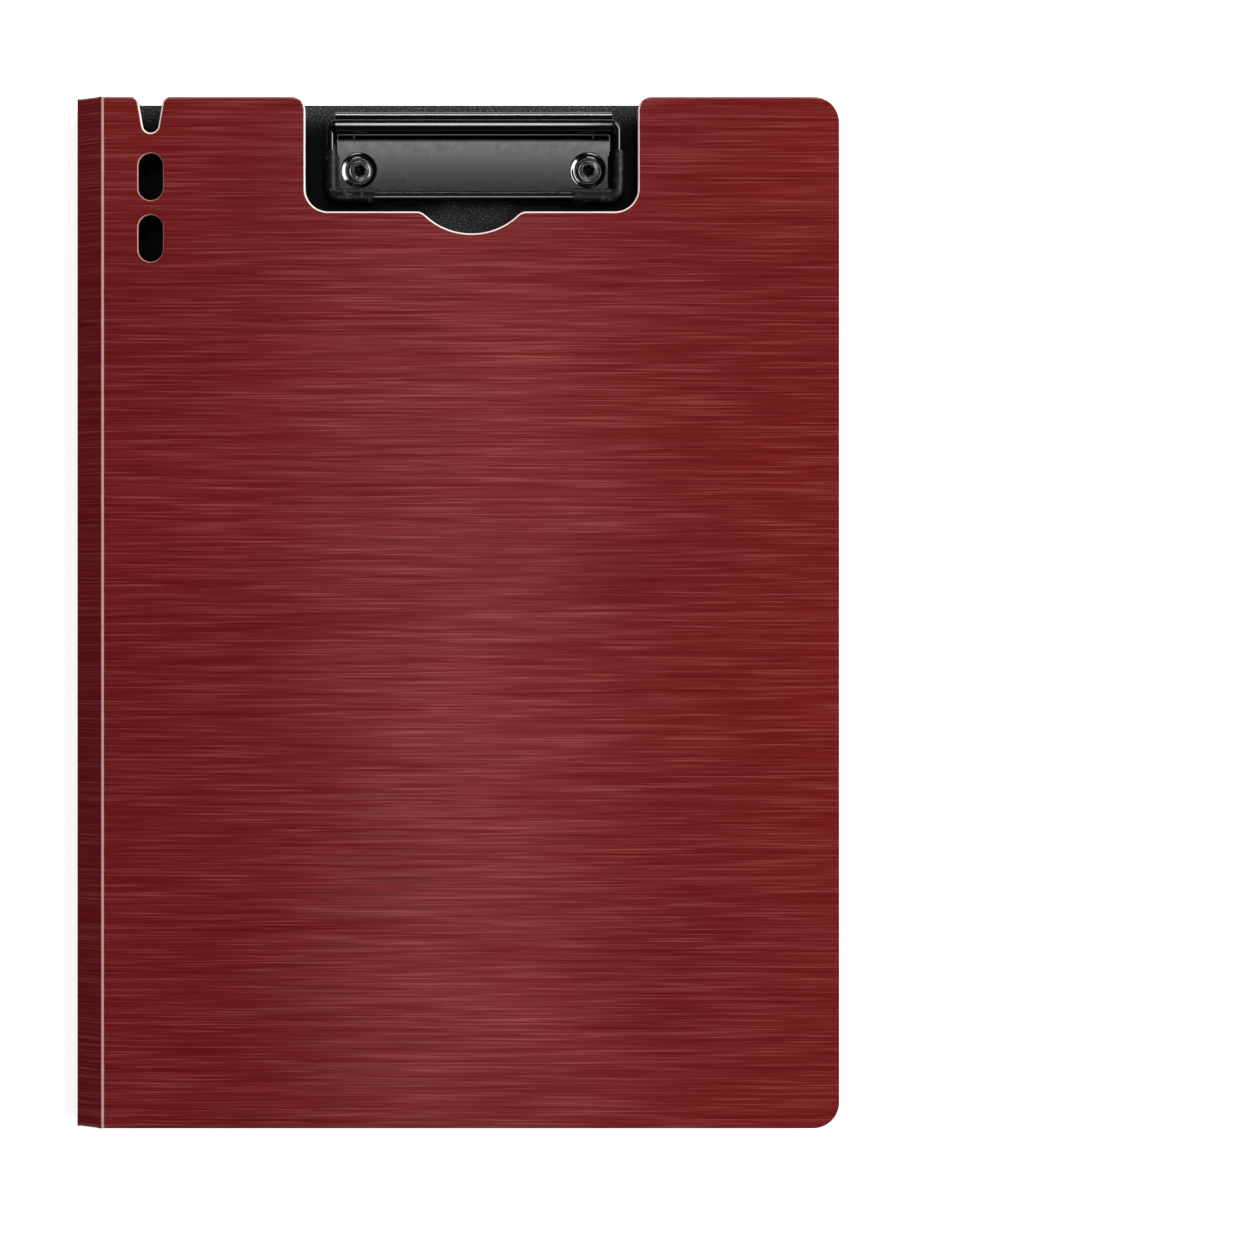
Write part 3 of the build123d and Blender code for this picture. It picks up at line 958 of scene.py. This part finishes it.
bend_steps = ceil(pi / 2 / ROUND_STEP)
bend_x = bail_half - bail_bend_radius
bm = bmesh.new()
ring = start_ring(bm, wire_radius, wire_sides, (0, -bail_reach, 0), "X")
ring = run_ring(bm, ring, (bend_x, 0, 0))
ring = bend_ring(bm, ring, (bend_x, bail_bend_radius - bail_reach, 0), (0, 0, 1), pi / 2, bend_steps)
ring = run_ring(bm, ring, (0, bail_reach - 2 * bail_bend_radius, 0))
ring = bend_ring(bm, ring, (bend_x, -bail_bend_radius, 0), (0, 0, 1), pi / 2, bend_steps)
ring = run_ring(bm, ring, (bail_end_gap / 2 - bend_x, 0, 0))
close_ring(bm, ring)
bmesh.ops.mirror(bm, geom=bm.verts[:] + bm.edges[:] + bm.faces[:], axis="X", merge_dist=0.001)
bmesh.ops.remove_doubles(bm, verts=bm.verts, dist=0.001)
bmesh.ops.recalc_face_normals(bm, faces=bm.faces)
soften(bm, sharp_edges(bm, radians(60)), 0.25, 2)
place_on_bail(bm)
make_piece("clip_bail_wire", bm, [wire_paint], "bail", ["clip_bail"])


# Sleeves: soft black rubber tube pushed over the bail's two lower corners, so that they
# neither mark the paper nor slip. Their ends are cut square.
def sleeve_rubber_material():
    """Matt black rubber with a fine skin and rubbed grey spots."""
    material = new_material("sleeve_rubber")
    skin = grain(material, (0.9, 0.9, 0.9), detail=4.0)
    rub = grain(material, (1.8, 1.8, 1.8), detail=2.0)
    tone = ramp(material, rub, [(0.42, linear(0x050506)), (0.6, linear(0x0D0D0E)), (0.7, linear(0x3C3C3E))])
    bump = add_node(
        material,
        "ShaderNodeBump",
        inputs={"Strength": 0.7, "Distance": 0.14 * MM, "Height": skin},
    )
    add_node(
        material,
        "ShaderNodeBsdfPrincipled",
        inputs={
            "Base Color": tone,
            "Roughness": 0.42,
            "IOR": 1.52,
            "Specular IOR Level": 0.18,
            "Normal": bump.outputs["Normal"],
        },
        output="BSDF",
    )
    return material


sleeve_rubber = sleeve_rubber_material()
sleeve_radius = 2.35
sleeve_bore = 1.55
sleeve_leg = 13.6
sleeve_rim = 0.3


def sleeve_wall(bm, radius):
    """One wall of the right sleeve, and the rings at its two ends."""
    leg = sleeve_leg - bail_bend_radius
    first = start_ring(bm, radius, wire_sides, (bail_half, sleeve_leg - bail_reach, 0), "Y")
    ring = run_ring(bm, first, (0, -leg, 0))
    ring = bend_ring(bm, ring, (bend_x, bail_bend_radius - bail_reach, 0), (0, 0, -1), pi / 2, bend_steps)
    ring = run_ring(bm, ring, (-leg, 0, 0))
    return first, ring


for name, side in (("left", -1), ("right", 1)):
    bm = bmesh.new()
    outside = sleeve_wall(bm, sleeve_radius)
    inside = sleeve_wall(bm, sleeve_bore)
    for rings in zip(outside, inside):
        bmesh.ops.bridge_loops(bm, edges=rings[0] + rings[1])
    if side < 0:
        bmesh.ops.scale(bm, vec=(-1, 1, 1), verts=bm.verts)
    bmesh.ops.recalc_face_normals(bm, faces=bm.faces)
    soften(bm, sharp_edges(bm, radians(60)), sleeve_rim, 3)
    place_on_bail(bm)
    make_piece(f"sleeve_{name}_rubber", bm, [sleeve_rubber], "bail", [f"sleeve_{name}"])


# Torsion springs: three turns of 0.8 mm wire round the bail inside the barrel's ends. One leg
# comes out through the barrel's slit and lies on the plate, so that the bail snaps shut.
def oiled_wire_material():
    """Bright drawn spring wire under a film of oil, with fine draw lines."""
    material = new_material("oiled_spring_wire")
    lines = grain(material, (0.6, 0.08, 0.08), detail=2.0)
    tone = ramp(material, lines, [(0.35, linear(0x2A2A29)), (0.65, linear(0x4E4D4B))])
    add_node(
        material,
        "ShaderNodeBsdfPrincipled",
        inputs={"Base Color": tone, "Metallic": 1.0, "Roughness": 0.3},
        output="BSDF",
    )
    return material


oiled_wire = oiled_wire_material()
spring_wire_radius = 0.4
spring_radius = 2.05
spring_turns = 3
spring_pitch = 1.25
spring_leg = 3.3
spring_sides = 16
spring_turn_steps = 40
for name, side in (("left", -1), ("right", 1)):
    spring_low, spring_high = (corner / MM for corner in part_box(f"clip_spring_{name}"))
    inner_x = (spring_low.x if side > 0 else spring_high.x) + side * spring_wire_radius
    bm = bmesh.new()
    start = (inner_x, barrel_y - spring_leg, barrel_z - spring_radius)
    first = start_ring(bm, spring_wire_radius, spring_sides, start, "Y")
    ring = run_ring(bm, first, (0, spring_leg, 0))
    ring = bend_ring(
        bm,
        ring,
        (0, barrel_y, barrel_z),
        (1, 0, 0),
        2 * pi * spring_turns,
        spring_turns * spring_turn_steps,
        rise=(side * spring_pitch / spring_turn_steps, 0, 0),
    )
    close_ring(bm, first)
    close_ring(bm, ring)
    bmesh.ops.recalc_face_normals(bm, faces=bm.faces)
    make_piece(f"clip_spring_{name}_wire", bm, [oiled_wire], "back", [f"clip_spring_{name}"])


# Studio: a plain pale floor, one large soft key lamp to the right and a little beyond, one low soft
# lamp beyond the top edge, and two lamps, one over the camera, that show in reflections only.
# The floor shows white and keeps the object's shadow.
IMAGE_SIZE = 1254
camera_x = -1.23
camera_y = 0.15
camera_height = 414.0
focal_pixels = 1327.2
principal_x = 458
principal_y = 612
sensor_width = 36.0

camera_data = bpy.data.cameras.new("camera")
camera_data.sensor_width = sensor_width
camera_data.lens = focal_pixels / IMAGE_SIZE * sensor_width
camera_data.shift_x = (IMAGE_SIZE / 2 - principal_x) / IMAGE_SIZE
camera_data.shift_y = (principal_y - IMAGE_SIZE / 2) / IMAGE_SIZE
camera_data.clip_start = 0.01
camera = bpy.data.objects.new("camera", camera_data)
camera.location = (camera_x * MM, camera_y * MM, camera_height * MM)
bpy.context.scene.collection.objects.link(camera)
bpy.context.scene.camera = camera

floor_size = 12.0
floor_material = new_material("studio_paper")
paper = add_node(
    floor_material,
    "ShaderNodeBsdfDiffuse",
    inputs={"Color": ramp(floor_material, grain(floor_material, (40, 40, 40)), [(0.3, linear(0xD2D2D2)), (0.7, linear(0xD6D6D6))])},
)
rays = add_node(floor_material, "ShaderNodeLightPath")
mirrored = add_node(
    floor_material,
    "ShaderNodeMath",
    {"operation": "MAXIMUM"},
    {0: rays.outputs["Is Glossy Ray"], 1: rays.outputs["Is Transmission Ray"]},
)
mirrored_lift = add_node(
    floor_material,
    "ShaderNodeMath",
    {"operation": "MULTIPLY"},
    {0: mirrored.outputs[0], 1: 0.2},
)
lift = add_node(
    floor_material,
    "ShaderNodeMath",
    {"operation": "MULTIPLY_ADD"},
    {0: rays.outputs["Is Camera Ray"], 1: 0.91, 2: mirrored_lift.outputs[0]},
)
glow = add_node(floor_material, "ShaderNodeEmission", inputs={"Strength": lift.outputs[0]})
both = add_node(
    floor_material,
    "ShaderNodeAddShader",
    inputs={0: paper.outputs[0], 1: glow.outputs[0]},
    output="Shader",
)
bm = bmesh.new()
bmesh.ops.create_grid(bm, x_segments=1, y_segments=1, size=floor_size / 2)
floor_mesh = bpy.data.meshes.new("floor")
bm.to_mesh(floor_mesh)
bm.free()
floor_mesh.materials.append(floor_material)
floor = bpy.data.objects.new("floor", floor_mesh)
bpy.context.scene.collection.objects.link(floor)


def add_lamp(name, place, target, size, power, mirrored_only=False):
    """Rectangular soft lamp at a place in millimetres, turned to its target."""
    data = bpy.data.lights.new(name, "AREA")
    data.shape = "RECTANGLE"
    data.size, data.size_y = (length * MM for length in size)
    data.energy = power
    lamp = bpy.data.objects.new(name, data)
    lamp.location = Vector(place) * MM
    lamp.rotation_euler = (Vector(target) - Vector(place)).to_track_quat("-Z", "Y").to_euler()
    lamp.visible_diffuse = not mirrored_only
    bpy.context.scene.collection.objects.link(lamp)


add_lamp("top_lamp", (0, -44, 430), (0, -44, 0), (176, 179), 0.75, mirrored_only=True)
add_lamp("key_lamp", (2120, 850, 1650), (0, 0, 0), (3400, 1000), 133.0)
add_lamp("far_lamp", (0, 2200, 330), (0, 0, 0), (1200, 130), 13.0)
add_lamp("plate_lamp", (20, 508, 1000), (20, 508, 0), (560, 45), 0.34, mirrored_only=True)

world = bpy.data.worlds.new("studio")
world.use_nodes = True
bpy.context.scene.world = world
world.node_tree.nodes.clear()
direction = add_node(world, "ShaderNodeTexCoord").outputs["Generated"]
aim = add_node(world, "ShaderNodeSeparateXYZ", inputs={0: direction})
sky = ramp(world, aim.outputs["Z"], [(0.0, (1, 1, 1, 1)), (0.02, (1, 1, 1, 1)), (0.08, (0.03, 0.03, 0.03, 1)), (1.0, (0.02, 0.02, 0.02, 1))])
seen = add_node(world, "ShaderNodeLightPath").outputs["Is Camera Ray"]
backdrop = add_node(
    world,
    "ShaderNodeMix",
    {"data_type": "RGBA"},
    {0: seen, "A": sky, "B": (1, 1, 1, 1)},
)
background = add_node(world, "ShaderNodeBackground", inputs={"Color": backdrop.outputs["Result"], "Strength": 1.0})
world_output = add_node(world, "ShaderNodeOutputWorld", inputs={0: background.outputs[0]})

view = bpy.context.scene.view_settings
view.view_transform = "Standard"
